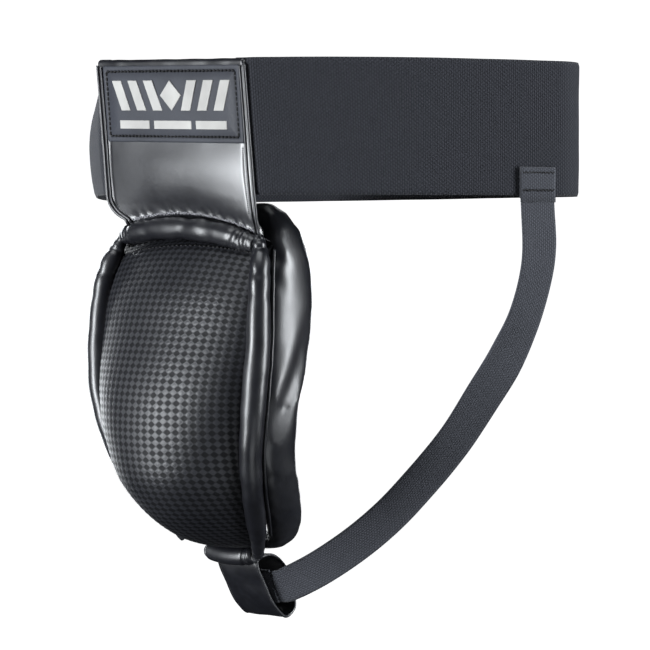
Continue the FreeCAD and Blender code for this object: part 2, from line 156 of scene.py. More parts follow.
def loop_pieces():
    """Flat front and arcs of the right half of the waist loop: centre, radius, headings, length."""
    pieces = []
    point = np.array([FLAT_HALF, FRONT])
    turn = 0.0
    for radius, to in ((EDGE_R, EDGE_TURN), (SIDE_R, SIDE_TURN), (CORNER_R, CORNER_TURN)):
        centre = point + left_of(turn) * radius
        pieces.append((centre, radius, turn, to))
        point = centre - left_of(to) * radius
        turn = to
    radius = point[0] / math.sin(math.radians(180.0 - turn))
    pieces.append((point + left_of(turn) * radius, radius, turn, 180.0))
    return pieces


LOOP = loop_pieces()
HALF_LENGTH = FLAT_HALF + sum(r * math.radians(b - a) for _, r, a, b in LOOP)
BAND_START = FLAT_HALF - 8.0


def on_loop(s, out):
    """Plan point at distance s along the loop from the middle of the front, moved out, and its heading."""
    side = 1.0 if s >= 0 else -1.0
    s = abs(s)
    if s > HALF_LENGTH:
        side, s = -side, 2 * HALF_LENGTH - s
    if s <= FLAT_HALF:
        return np.array([side * s, FRONT - out]), 0.0
    s -= FLAT_HALF
    for centre, radius, start, end in LOOP:
        length = radius * math.radians(end - start)
        if s <= length + 1e-6:
            turn = start + math.degrees(s / radius)
            p = centre - left_of(turn) * (radius + out)
            return np.array([side * p[0], p[1]]), side * turn
        s -= length
    p = LOOP[-1][0] + np.array([0, LOOP[-1][1] + out])
    return p, 180.0


# ---- mesh helpers ----
def piece(name, verts, faces, material, flat=None, smooth=True):
    """A mesh object from points in millimetres. flat holds each point's place on the flat cloth."""
    mesh = bpy.data.meshes.new(name)
    mesh.from_pydata((np.asarray(verts, float) * MM).tolist(), [], [list(map(int, f)) for f in faces])
    if flat is not None:
        layer = mesh.attributes.new("flat", "FLOAT_VECTOR", "POINT")
        data = np.zeros((len(verts), 3), np.float32)
        data[:, :2] = np.asarray(flat, float) * MM
        layer.data.foreach_set("vector", data.ravel())
    mesh.validate()
    if smooth:
        mesh.shade_smooth()
    mesh.materials.append(material)
    obj = bpy.data.objects.new(name, mesh)
    bpy.context.scene.collection.objects.link(obj)
    return obj


def grid_faces(rows, cols, wrap=False, ring=False, start=0):
    """Quads between the points of a grid, which are numbered row by row from start."""
    faces = []
    for i in range(rows if ring else rows - 1):
        for j in range(cols if wrap else cols - 1):
            here, below = start + i * cols, start + (i + 1) % rows * cols
            after = (j + 1) % cols
            faces.append((here + j, here + after, below + after, below + j))
    return faces


def grid(name, points, material, wrap=False, ring=False, caps=False, flat=None, flip=False):
    """A mesh through an array of points: rows, then columns. wrap closes each row, ring closes the rows."""
    points = np.asarray(points, float)
    rows, cols = points.shape[:2]
    faces = grid_faces(rows, cols, wrap, ring)
    if caps:
        faces.append(tuple(range(cols))[::-1])
        faces.append(tuple((rows - 1) * cols + j for j in range(cols)))
    if flip:
        faces = [f[::-1] for f in faces]
    if flat is not None:
        flat = np.asarray(flat, float).reshape(-1, 2)
    return piece(name, points.reshape(-1, 3), faces, material, flat)


def slab(name, rows, columns, place, material, round_edge):
    """A closed sheet. place(i, j) gives its outer point, its inner point and its place on the flat cloth."""
    cells = [[place(i, j) for j in range(columns + 1)] for i in range(rows + 1)]
    outer, inner, flat = (np.array([[cell[k] for cell in row] for row in cells], float) for k in range(3))
    rows, cols = outer.shape[:2]
    n = rows * cols
    walls = grid_faces(rows, cols)
    faces = walls + [tuple(n + i for i in f[::-1]) for f in walls]
    border = [(0, j) for j in range(cols - 1)]
    border += [(i, cols - 1) for i in range(rows - 1)]
    border += [(rows - 1, j) for j in range(cols - 1, 0, -1)]
    border += [(i, 0) for i in range(rows - 1, 0, -1)]
    index = [i * cols + j for i, j in border]
    for a, b in zip(index, index[1:] + index[:1]):
        faces.append((b, a, n + a, n + b))
    middle = (outer + inner) / 2
    for i, j in border:
        outer[i, j] = outer[i, j] * (1 - round_edge) + middle[i, j] * round_edge
        inner[i, j] = inner[i, j] * (1 - round_edge) + middle[i, j] * round_edge
    flat = flat.reshape(-1, 2)
    verts = np.concatenate([outer.reshape(-1, 3), inner.reshape(-1, 3)])
    return piece(name, verts, faces, material, np.concatenate([flat, flat]))


def normals_of(points, wrap=False, ring=False):
    """Unit normals of a point grid."""
    def difference(axis, closed):
        if closed:
            return np.roll(points, -1, axis) - np.roll(points, 1, axis)
        return np.gradient(points, axis=axis)

    n = np.cross(difference(1, wrap), difference(0, ring))
    return n / np.maximum(np.linalg.norm(n, axis=2, keepdims=True), 1e-9)


def lengths_along(points, axis):
    step = np.linalg.norm(np.diff(points, axis=axis), axis=2)
    return np.concatenate([np.zeros_like(np.take(step, [0], axis)), np.cumsum(step, axis)], axis)


def ripple(p, scale, seed=0.0):
    """Smooth noise from -1 to 1 at a point in millimetres."""
    return noise.noise(Vector((p[0] / scale + seed, p[1] / scale - seed, p[2] / scale + 2 * seed)))


def bump_at(x, centre, width):
    return math.exp(-(((x - centre) / width) ** 2))


def subdivide(obj, levels=1):
    modifier = obj.modifiers.new("smooth", "SUBSURF")
    modifier.levels = modifier.render_levels = levels
    return obj


def read_points(mesh):
    points = np.zeros(len(mesh.vertices) * 3)
    mesh.vertices.foreach_get("co", points)
    return points.reshape(-1, 3)


def write_points(mesh, points):
    mesh.vertices.foreach_set("co", np.asarray(points, float).ravel())
    mesh.update()


LEAN, TILT = 0.107, 0.037  # slopes of the worn front


def settle(obj):
    """The front of the worn waistband leans, its top forward, and hangs a little higher on the left."""
    points = read_points(obj.data)
    near = np.clip(1 - (points[:, 1] - FRONT * MM) / 0.07, 0, 1)
    near = near * near * (3 - 2 * near)
    x, z = points[:, 0], points[:, 2]
    points[:, 1] -= LEAN * (np.maximum(z, -0.045) + 0.009) * near
    high = np.clip((z + 0.05) / 0.03, 0, 1)
    points[:, 2] += TILT * (0.063 - np.clip(x, -0.09, 0.063)) * near * high
    write_points(obj.data, points)
    return obj


def mirrored(obj, name):
    """A copy of a piece on the other side of the middle plane."""
    mesh = obj.data.copy()
    mesh.transform(((-1, 0, 0, 0), (0, 1, 0, 0), (0, 0, 1, 0), (0, 0, 0, 1)))
    mesh.flip_normals()
    copy = bpy.data.objects.new(name, mesh)
    for modifier in obj.modifiers:
        subdivide(copy, modifier.levels)
    bpy.context.scene.collection.objects.link(copy)
    return copy


def capsules(name, centres, directions, length, radius, material):
    """Short rounded threads, all in one mesh."""
    verts, faces = [], []
    ring = 6
    profile = [(-0.5, 0.35), (-0.38, 0.85), (0.0, 1.0), (0.38, 0.85), (0.5, 0.35)]
    for centre, along in zip(centres, directions):
        along = Vector(along).normalized()
        side = along.orthogonal().normalized()
        up = along.cross(side)
        first = len(verts)
        for t, r in profile:
            for k in range(ring):
                a = 2 * math.pi * k / ring
                away = (side * math.cos(a) + up * math.sin(a)) * (r * radius)
                verts.append(tuple(Vector(centre) + along * (t * length) + away))
        faces += grid_faces(len(profile), ring, wrap=True, start=first)
        faces.append(tuple(first + k for k in range(ring))[::-1])
        faces.append(tuple(first + (len(profile) - 1) * ring + k for k in range(ring)))
    return piece(name, verts, faces, material)


def tube(name, path, radii, material, sides, shape=None):
    """A round bar along a list of points, closed at its ends. shape(s, angle, length) adds to the radius."""
    path = np.asarray(path, float)
    along = np.gradient(path, axis=0)
    along /= np.linalg.norm(along, axis=1, keepdims=True)
    s = np.concatenate([[0], np.cumsum(np.linalg.norm(np.diff(path, axis=0), axis=1))])
    rows = []
    flat = []
    side = Vector(along[0]).orthogonal().normalized()
    for i, p in enumerate(path):
        t = Vector(along[i])
        side = (side - t * side.dot(t)).normalized()
        up = t.cross(side)
        row, cloth = [], []
        for k in range(sides):
            a = 2 * math.pi * k / sides
            r = radii[i] + (shape(s[i], a, s[-1]) if shape else 0.0)
            row.append(np.array(p) + np.array(side * math.cos(a) + up * math.sin(a)) * r)
            cloth.append((s[i], k / sides * 2 * math.pi * radii[i]))
        rows.append(row)
        flat.append(cloth)
    return grid(name, rows, material, wrap=True, caps=True, flat=flat)


# ---- materials ----
def new_material(name, colour, rough, specular=0.5):
    material = bpy.data.materials.new(name)
    material.use_nodes = True
    shader = material.node_tree.nodes["Principled BSDF"]
    shader.inputs["Base Color"].default_value = (*colour, 1)
    shader.inputs["Roughness"].default_value = rough
    shader.inputs["Specular IOR Level"].default_value = specular
    return material, material.node_tree, shader


def node(tree, kind, values=None, **settings):
    n = tree.nodes.new(kind)
    for key, value in settings.items():
        setattr(n, key, value)
    for key, value in (values or {}).items():
        n.inputs[key].default_value = value
    return n


def math_node(tree, operation, a, b=None):
    n = node(tree, "ShaderNodeMath", operation=operation)
    for i, value in enumerate((a, b)):
        if value is None:
            continue
        if isinstance(value, (int, float)):
            n.inputs[i].default_value = value
        else:
            tree.links.new(value, n.inputs[i])
    return n.outputs[0]


def spread(tree, factor, low, high, to_low, to_high):
    """Map one range of the factor to another."""
    limits = {"From Min": low, "From Max": high, "To Min": to_low, "To Max": to_high}
    n = node(tree, "ShaderNodeMapRange", limits)
    tree.links.new(factor, n.inputs["Value"])
    return n.outputs[0]


def ramp(tree, factor, low, high, colour_low, colour_high):
    """Blend two colours over a range of the factor."""
    mix = node(tree, "ShaderNodeMix", data_type="RGBA")
    mix.inputs["A"].default_value = (*colour_low, 1)
    mix.inputs["B"].default_value = (*colour_high, 1)
    tree.links.new(spread(tree, factor, low, high, 0.0, 1.0), mix.inputs["Factor"])
    return mix.outputs["Result"]


def object_noise(tree, scale, detail=3.0, kind="ShaderNodeTexNoise"):
    coords = node(tree, "ShaderNodeTexCoord")
    n = node(tree, kind, {"Scale": scale})
    if kind == "ShaderNodeTexNoise":
        n.inputs["Detail"].default_value = detail
    tree.links.new(coords.outputs["Object"], n.inputs["Vector"])
    return n


def add_bump(tree, shader, layers):
    """Stack bump layers, each (height socket, strength, distance in millimetres)."""
    normal = None
    for height, strength, distance in layers:
        bump = node(tree, "ShaderNodeBump", {"Strength": strength, "Distance": distance * MM})
        tree.links.new(height, bump.inputs["Height"])
        if normal:
            tree.links.new(normal, bump.inputs["Normal"])
        normal = bump.outputs[0]
    tree.links.new(normal, shader.inputs["Normal"])


def leather(name, colour, rough, grain=1.0, coat=0.0):
    """Artificial leather: pebbled grain, soft creases, wear in the gloss."""
    material, tree, shader = new_material(name, colour, rough)
    cells = object_noise(tree, 1300.0, kind="ShaderNodeTexVoronoi")
    creases = object_noise(tree, 260.0, 4.0)
    smudge = object_noise(tree, 34.0, 3.0)
    pebbles = (cells.outputs["Distance"], 0.22 * grain, 0.12)
    add_bump(tree, shader, [(creases.outputs["Fac"], 0.12 * grain, 0.5), pebbles])
    rough_out = spread(tree, smudge.outputs["Fac"], 0.35, 0.65, rough - 0.05, rough + 0.09)
    tree.links.new(rough_out, shader.inputs["Roughness"])
    low = tuple(c * 0.75 for c in colour)
    high = tuple(c * 1.35 for c in colour)
    tree.links.new(ramp(tree, creases.outputs["Fac"], 0.3, 0.7, low, high), shader.inputs["Base Color"])
    if coat:
        shader.inputs["Coat Weight"].default_value = coat
        shader.inputs["Coat Roughness"].default_value = 0.34
    return material


def chess(tree, cell_mm):
    """A smooth chessboard turned by 45 degrees on the flat cloth: 0 in sunk cells, 1 in raised ones."""
    cloth = node(tree, "ShaderNodeAttribute", attribute_name="flat")
    split = node(tree, "ShaderNodeSeparateXYZ")
    tree.links.new(cloth.outputs["Vector"], split.inputs[0])
    k = math.pi / (cell_mm * math.sqrt(2) * MM)
    u = math_node(tree, "MULTIPLY", math_node(tree, "ADD", split.outputs["X"], split.outputs["Y"]), k)
    v = math_node(tree, "MULTIPLY", math_node(tree, "SUBTRACT", split.outputs["X"], split.outputs["Y"]), k)
    product = math_node(tree, "MULTIPLY", math_node(tree, "SINE", u), math_node(tree, "SINE", v))
    return spread(tree, product, -0.32, 0.32, 0.0, 1.0)


def embossed(name, low, high, cell_mm):
    """Artificial leather pressed in a chessboard of small cells, the raised ones glossier; their lighter
    colour is painted highlight and the darker colour of the sunk cells is painted shade.
    """
    material, tree, shader = new_material(name, low, 0.45, 0.42)
    cells = chess(tree, cell_mm)
    grain = object_noise(tree, 900.0, 3.0)
    smudge = object_noise(tree, 30.0, 3.0)
    add_bump(tree, shader, [(grain.outputs["Fac"], 0.25, 0.15), (cells, 0.6, 0.3)])
    # Base colour dark in the sunk cells and light on the raised ones: painted shade and painted highlight of
    # the embossing.
    tree.links.new(ramp(tree, cells, 0.1, 0.9, low, high), shader.inputs["Base Color"])
    tree.links.new(spread(tree, cells, 0.1, 0.9, 0.18, 0.48), shader.inputs["Specular IOR Level"])
    rough = math_node(tree, "ADD", spread(tree, cells, 0.0, 1.0, 0.60, 0.45),
                      spread(tree, smudge.outputs["Fac"], 0.3, 0.7, -0.04, 0.06))
    tree.links.new(rough, shader.inputs["Roughness"])
    return material


def woven(name, dark, light, column_mm, rib_mm, depth=0.3):
    """Knitted elastic: columns of small loops, every other column half a loop down."""
    material, tree, shader = new_material(name, dark, 0.85, 0.12)
    cloth = node(tree, "ShaderNodeAttribute", attribute_name="flat")
    split = node(tree, "ShaderNodeSeparateXYZ")
    tree.links.new(cloth.outputs["Vector"], split.inputs[0])
    across = math_node(tree, "MULTIPLY", split.outputs["X"], math.pi / (column_mm * MM))
    down = math_node(tree, "MULTIPLY", split.outputs["Y"], math.pi / (rib_mm * MM))
    columns = math_node(tree, "SINE", across)
    ribs = math_node(tree, "SINE", down)
    loops = math_node(tree, "MULTIPLY", columns, ribs)
    fuzz = object_noise(tree, 900.0, 2.0)
    ridge = math_node(tree, "ABSOLUTE", columns)
    height = math_node(tree, "MULTIPLY", loops, 0.35)
    for part, share in ((ridge, 0.6), (fuzz.outputs["Fac"], 0.4)):
        height = math_node(tree, "ADD", height, math_node(tree, "MULTIPLY", part, share))
    add_bump(tree, shader, [(height, 0.8, depth)])
    # Base colour follows the knit's height: painted shade in the hollows between loops and painted highlight
    # on the loop tops, with the fuzz noise adding random tone.
    tree.links.new(ramp(tree, height, -0.3, 0.9, dark, light), shader.inputs["Base Color"])
    shader.inputs["Sheen Weight"].default_value = 0.08
    shader.inputs["Sheen Roughness"].default_value = 0.5
    return material


def plain(name, colour, rough, specular):
    """Moulded or printed rubber with a fine matt grain."""
    material, tree, shader = new_material(name, colour, rough, specular)
    fine = object_noise(tree, 700.0, 3.0)
    wide = object_noise(tree, 45.0, 2.0)
    add_bump(tree, shader, [(fine.outputs["Fac"], 0.15, 0.1)])
    low = tuple(c * 0.88 for c in colour)
    high = tuple(c * 1.12 for c in colour)
    tree.links.new(ramp(tree, wide.outputs["Fac"], 0.35, 0.65, low, high), shader.inputs["Base Color"])
    matt = spread(tree, fine.outputs["Fac"], 0.3, 0.7, rough - 0.06, rough + 0.06)
    tree.links.new(matt, shader.inputs["Roughness"])
    return material


def thread_material(name, colour):
    """Twisted thread: fine slanting lines in the object's own space."""
    material, tree, shader = new_material(name, colour, 0.7, 0.3)
    coords = node(tree, "ShaderNodeTexCoord")
    wave = node(tree, "ShaderNodeTexWave", {"Scale": 900.0, "Distortion": 1.5}, bands_direction="DIAGONAL")
    tree.links.new(coords.outputs["Object"], wave.inputs["Vector"])
    add_bump(tree, shader, [(wave.outputs["Fac"], 0.5, 0.1)])
    high = tuple(min(1.0, c * 2.2 + 0.004) for c in colour)
    tree.links.new(ramp(tree, wave.outputs["Fac"], 0.2, 0.9, colour, high), shader.inputs["Base Color"])
    return material


PU = leather("pu_leather", (0.0042, 0.0045, 0.0064), 0.36, coat=0.25)
PU_PANEL = leather("pu_panel", (0.007, 0.0074, 0.0098), 0.42, grain=2.2, coat=1.0)
# The dome's dark colour is painted shade for the sunk cells, its light colour painted highlight for the
# raised cells.
PU_DOME = embossed("pu_embossed", (0.002, 0.0022, 0.003), (0.0092, 0.0098, 0.0128), CELL)
PU_EDGE = leather("pu_cut_edge", (0.008, 0.0084, 0.0105), 0.38, grain=0.5, coat=0.2)
# Knit colours: the dark one is painted shade in the hollows of the knit, the light one painted highlight on
# the loop tops.
ELASTIC = woven("waist_elastic", (0.0005, 0.0006, 0.0008), (0.0215, 0.0228, 0.0285), 1.4, 1.1, depth=0.5)
WEBBING = woven("strap_elastic", (0.0045, 0.0048, 0.0058), (0.05, 0.0525, 0.062), 1.3, 1.0)
LINING = woven("lining", (0.003, 0.003, 0.0035), (0.013, 0.0135, 0.015), 1.2, 1.2, depth=0.25)
LABEL = plain("label_rubber", (0.025, 0.027, 0.034), 0.6, specular=0.25)
PRINT = plain("label_print", (0.29, 0.285, 0.272), 0.6, specular=0.3)
THREAD = thread_material("thread", (0.0015, 0.0015, 0.002))
SEAM_THREAD = thread_material("seam_thread", (0.13, 0.13, 0.14))


# ---- waistband ----
def band():
    """The elastic, from under one edge of the front panel round the back to the other edge."""
    rows, columns = 36, 420

    def place(i, j):
        z = BAND_H * (i / rows - 0.5)
        s = BAND_START + (2 * HALF_LENGTH - 2 * BAND_START) * j / columns
        edge = abs(z) / (BAND_H / 2)
        from_left = 2 * HALF_LENGTH - s
        wave = 0.9 * ripple((s, 0, z * 0.4), 60.0, 3.1) + 0.35 * ripple((s, 0, z), 22.0, 7.7)
        near = math.exp(-min(s - BAND_START, from_left - BAND_START) / 14.0)
        # The elastic bulges where it turns away on the left of the panel.
        flare = max(-7.0, 4.8 * (1 - ((z + 19.0) / 29.0) ** 2))
        wave = wave * (1 - near) + flare * bump_at(from_left, 110.0, 42.0)
        lift = 0.4 * ripple((s, 5.0, 0), 75.0, 1.3) * edge * (1 - near)
        half = BAND_T / 2 * (1.0 if edge < 0.96 else 0.72)
        height = z + math.copysign(lift, z)
        return (*on_loop(s, half + wave)[0], height), (*on_loop(s, -half + wave)[0], height), (s, z)

    obj = settle(slab("waistband_elastic_cloth", rows, columns, place, ELASTIC, 0.35))
    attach(obj, "waistband")
    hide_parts("waistband_elastic")


band()


# ---- front panel ----
SKIN_OUT = BAND_T / 2 + 0.1 + 1.3
PANEL_LEFT, PANEL_RIGHT = -63.0, 63.5
PANEL_TOP = 38.0


def seam_z(s):
    """Height of the seam along the foot of the panel."""
    return -51.3 - 0.0026 * (s + 8.0) ** 2


def panel_swell(s, z):
    """How far the stuffed panel stands out of its flat surface."""
    t = (s - PANEL_LEFT) / (PANEL_RIGHT - PANEL_LEFT)
    across = math.sin(math.pi * min(max(t, 0.0), 1.0)) ** 0.6
    foot = z - seam_z(s)
    crown = 1 - (2 * t - 1) ** 2
    swell = 4.4 * crown * bump_at(z, -27.0, 15.0) + 0.35 * ripple((s, 0, z), 26.0, 4.2) * across
    tuck = min(1.0, max(0.0, 1 - foot / 18.0))
    swell -= 6.5 * tuck**2 * across
    swell += 1.4 * bump_at(foot, 0.6, 1.6)
    swell += 0.5 * math.sin(0.75 * s + 3.0 * ripple((s, 0, 0), 12.0, 9.0)) * bump_at(foot, 2.0, 2.5)
    return swell


def panel_point(s, z, out):
    """A point of the front panel: along its width, its height, and out from the band."""
    p, _ = on_loop(s, out)
    y = p[1]
    low = -BAND_H / 2
    if z < low:
        r = APRON_LEAN_R + out
        y += r * (1 - math.cos(math.asin(min(0.95, (low - z) / r))))
    return np.array([p[0], y, z])


def panel_side(z, t):
    """Place along the loop of share t of the panel's width, at a height; its lower left corner is rounded."""
    left = PANEL_LEFT + 13.0 * min(1.0, max(0.0, (-41.0 - z) / 13.0)) ** 2
    right = PANEL_RIGHT - 1.5 * min(1.0, max(0.0, (-50.0 - z) / 12.0))
    return left + (right - left) * t


def panel_blend(obj):
    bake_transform(obj)


def panel():
    """The padded cover of the front panel, tucked back under its foot."""
    rows, tuck_rows, columns = 90, 8, 96

    def place(i, j):
        down = min(1.0, i / rows)
        tuck = max(0.0, (i - rows) / tuck_rows)
        t = j / columns
        z = PANEL_TOP * (1 - down) + seam_z(panel_side(-48.0 * down, t)) * down
        s = panel_side(z, t)
        edge = min(s - PANEL_LEFT, PANEL_RIGHT - s)
        out = SKIN_OUT + panel_swell(s, z)
        out += -0.7 * bump_at(edge, 5.2, 0.9) + 0.3 * bump_at(edge, 1.6, 1.4)
        out -= 1.8 * bump_at(z, PANEL_TOP + 0.6, 1.3)
        back = np.array([0, 10.0 * tuck, -3.0 * math.sin(0.5 * math.pi * tuck)])
        inner = panel_point(s, z, min(SKIN_OUT, out) - 1.3)
        return panel_point(s, z, out) + back, inner + back, (s, z)

    obj = settle(slab("front_panel_cover", rows + tuck_rows, columns, place, PU_PANEL, 0.5))
    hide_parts("front_panel_outer", "panel_binding_left", "panel_binding_right")
    panel_blend(obj)


panel()


def panel_beads():
    """Folded edges of the panel: thin ridges down each side."""
    for side, word, edge in ((1, "right", PANEL_RIGHT), (-1, "left", PANEL_LEFT)):
        for k, (inset, radius) in enumerate(((0.0, 1.05), (3.2, 0.7))):
            path = []
            for i in range(71):
                z = PANEL_TOP - 1.8 - (PANEL_TOP + (55.5 if side < 0 else 61.5)) * i / 70
                s = panel_side(z, 1.0 if side > 0 else 0.0) - side * inset
                out = SKIN_OUT + 0.4 + 0.7 * panel_swell(s, z) + 0.25 * ripple((side, k, z), 12.0, 5.0)
                path.append(panel_point(s, z, out))
            bead = settle(tube("panel_bead_%s_%d" % (word, k), path, [radius] * 71, PU_EDGE, 12))
            panel_blend(bead)


panel_beads()


def edge_sewing():
    """Fine stitches beside the right and left edges of the panel."""
    centres, ways = [], []
    for side in (1, -1):
        for i in range(34):
            z = -13.0 - 1.15 * i
            s = panel_side(z, 1.0 if side > 0 else 0.0) - side * 6.2
            if z < seam_z(s) + 2:
                continue
            centres.append(panel_point(s, z, SKIN_OUT + panel_swell(s, z) - 0.05))
            ways.append((0, 0, 1))
    obj = settle(capsules("panel_edge_sewing", centres, ways, 0.8, 0.3, THREAD))
    panel_blend(obj)


edge_sewing()


def top_binding():
    """Soft rolled edge along the top of the panel."""
    rows, flat = [], []
    count = 80
    # Behind the elastic's middle, and above the panel's top.
    section = [(-3.2, -3.4), (-3.7, -1.6), (-3.5, 0.4), (-2.6, 1.5), (-1.2, 1.9), (0.6, 1.8), (1.9, 1.0),
               (2.7, -0.6), (2.7, -3.4), (2.2, -3.5), (1.9, -1.4), (0.0, -0.2), (-2.0, -1.0), (-2.5, -3.3)]
    for i in range(count + 1):
        s = PANEL_LEFT + (PANEL_RIGHT - PANEL_LEFT) * i / count
        row, cloth = [], []
        swell = 1 + 0.14 * ripple((s, 0, 0), 13.0, 2.0)
        for k, (back, up) in enumerate(section):
            p, _ = on_loop(s, -back * swell)
            row.append((p[0], p[1], PANEL_TOP - 0.2 + up * swell))
            cloth.append((s, k * 1.5))
        rows.append(row)
        flat.append(cloth)
    obj = subdivide(settle(grid("panel_top_binding", rows, PU, wrap=True, caps=True, flat=flat)))
    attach(obj, "waistband")
    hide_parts("panel_binding_top")


top_binding()


def panel_lining():
    """Padding and lining behind the panel, between the two ends of the elastic."""
    rows, columns = 32, 60

    def place(i, j):
        z = 39.6 - 79.2 * i / rows
        s = 66.0 * (2 * j / columns - 1)
        wave = 0.4 * ripple((s, 0, z), 18.0, 6.0)
        return (*on_loop(s, -1.4)[0], z), (*on_loop(s, -3.2 + wave)[0], z), (s, z)

    obj = settle(slab("front_panel_backing", rows, columns, place, LINING, 0.4))
    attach(obj, "waistband")
    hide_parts("front_panel_lining", "front_panel_foam")


panel_lining()


# ---- label ----
def rounded_rect(width, height, radius):
    """Outline of a rectangle with round corners."""
    points = []
    corner_steps = 6
    for cx, cz, start in ((1, 1, 0), (-1, 1, 90), (-1, -1, 180), (1, -1, 270)):
        for k in range(corner_steps + 1):
            a = math.radians(start + 90.0 * k / corner_steps)
            points.append((cx * (width / 2 - radius) + radius * math.cos(a),
                           cz * (height / 2 - radius) + radius * math.sin(a)))
    return points


def label_warp(x, z):
    """Slight unevenness of the sewn patch, out from the panel."""
    return 0.5 * ripple((x, 0, z), 40.0, 8.0) + 0.5 * bump_at(z, -23.0, 9.0)


def label_y(x, z):
    return FRONT - SKIN_OUT - label_warp(x, z)


def stacked(name, outline, levels, centre, material):
    """A raised shape: the outline repeated at (inset share, height) levels, closed on top."""
    verts = []
    n = len(outline)
    for inset, rise in levels:
        for x, z in outline:
            px, pz = x * inset[0], z * inset[1]
            verts.append((centre[0] + px, label_y(px, pz) - rise, centre[1] + pz))
    faces = grid_faces(len(levels), n, wrap=True)
    faces.append(tuple((len(levels) - 1) * n + k for k in range(n)))
    faces.append(tuple(range(n))[::-1])
    return piece(name, verts, [f[::-1] for f in faces], material)


def label():
    """The rubber patch with its sewn groove, and the stitches in it."""
    width, height = LABEL_W, 46.0
    outline = rounded_rect(width, height, 1.5)

    def inset(mm):
        return (1 - 2 * mm / width, 1 - 2 * mm / height)

    levels = [(0.0, -0.3), (0.0, 0.9), (0.25, 1.35), (0.8, 1.6), (2.9, 1.65),
              (3.15, 1.3), (3.85, 1.3), (4.1, 1.6), (12.0, 1.6), (20.0, 1.6)]
    levels = [(inset(mm), rise) for mm, rise in levels]
    obj = settle(stacked("label_patch_rubber", outline, levels, (LABEL_X, LABEL_Z), LABEL))
    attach(obj, "waistband")
    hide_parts("label_patch")
    centres, ways = [], []
    x, z = width / 2 - 3.5, height / 2 - 3.5
    corners = [(-x, -z), (x, -z), (x, z), (-x, z)]
    for (x0, z0), (x1, z1) in zip(corners, corners[1:] + corners[:1]):
        length = math.hypot(x1 - x0, z1 - z0)
        count = round(length / 3.1)
        for k in range(count):
            t = (k + 0.5) / count
            px, pz = x0 + (x1 - x0) * t, z0 + (z1 - z0) * t
            centres.append((LABEL_X + px, label_y(px, pz) - 1.7, LABEL_Z + pz))
            ways.append((x1 - x0, 0.15, z1 - z0))
    sewing = settle(capsules("label_sewing", centres, ways, 2.3, 0.78, THREAD))
    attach(sewing, "waistband")
    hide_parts("label_stitching")


label()


def emblem():
    """Generic mark: a diamond between leaning bars, over a broken line."""
    shapes = [[(0, 14), (9, 5), (0, -4), (-9, 5)]]
    for side in (-1, 1):
        for near in (8.0, 22.0, 36.0):
            bar = [(near + 7, 14), (near + 15, 14), (near + 8, -4), (near, -4)]
            shapes.append([(side * x, z) for x, z in bar])
    for middle, half in ((-33.0, 13.0), (0.0, 16.0), (33.0, 13.0)):
        left, right = middle - half, middle + half
        shapes.append([(left, -10), (right, -10), (right, -15), (left, -15)])
    verts, faces = [], []
    for shape in shapes:
        first = len(verts)
        cx = sum(p[0] for p in shape) / 4
        cz = sum(p[1] for p in shape) / 4
        area = sum(a[0] * b[1] - b[0] * a[1] for a, b in zip(shape, shape[1:] + shape[:1]))
        points = shape if area > 0 else shape[::-1]
        for shrink, rise in ((1.0, 1.5), (1.0, 1.85), (0.97, 2.0)):
            for x, z in points:
                px, pz = cx + (x - cx) * shrink, cz + (z - cz) * shrink
                verts.append((LABEL_X + px, label_y(px, pz) - rise, LABEL_Z + pz))
        faces += [tuple(first + i for i in f[::-1]) for f in grid_faces(3, 4, wrap=True)]
        faces.append(tuple(first + 8 + k for k in range(4))[::-1])
    obj = settle(piece("label_mark", verts, faces, PRINT, smooth=False))
    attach(obj, "waistband")
    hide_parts("label_emblem")


emblem()


# ---- dome ----
def weave(a, b, cell):
    """Height from 0 to 1 of the embossed chessboard at flat cloth coordinates."""
    u = (a + b) / (cell * math.sqrt(2))
    v = (a - b) / (cell * math.sqrt(2))
    board = np.sin(math.pi * u) * np.sin(math.pi * v)
    return np.clip(board / 0.8 + 0.5, 0, 1) * 0.9 + 0.1 * np.abs(board)


def dome_grid(rows, columns, inset=0.0):
    """Points of the bulging cover, row by row from the top, before its cells are raised."""
    profile = through([(bulge, z) for z, bulge in DOME])
    points = np.zeros((rows, columns, 3))
    for i in range(rows):
        t = i / (rows - 1)
        bulge, z = profile(t)
        z = min(max(z, DOME[-1][0]), DOME[0][0])
        low = (DOME[0][0] - z) / (DOME[0][0] - DOME[-1][0])
        half = rim_half(z) - 3.0 - inset
        base = FRONT + rim_back(z) + 4.0
        for j in range(columns):
            a = math.pi * (j / (columns - 1) - 0.5)
            # Even steps along the curve rather than in angle.
            a += 0.10 * math.sin(2 * a)
            c2 = math.cos(a) ** 2
            lift = DOME_ARCH * c2 * (1 - low) ** 3 - DOME_DROP * c2 * low**6
            points[i, j] = (half * math.sin(a), base - max(0.0, bulge) * math.cos(a), z + lift)
    return points


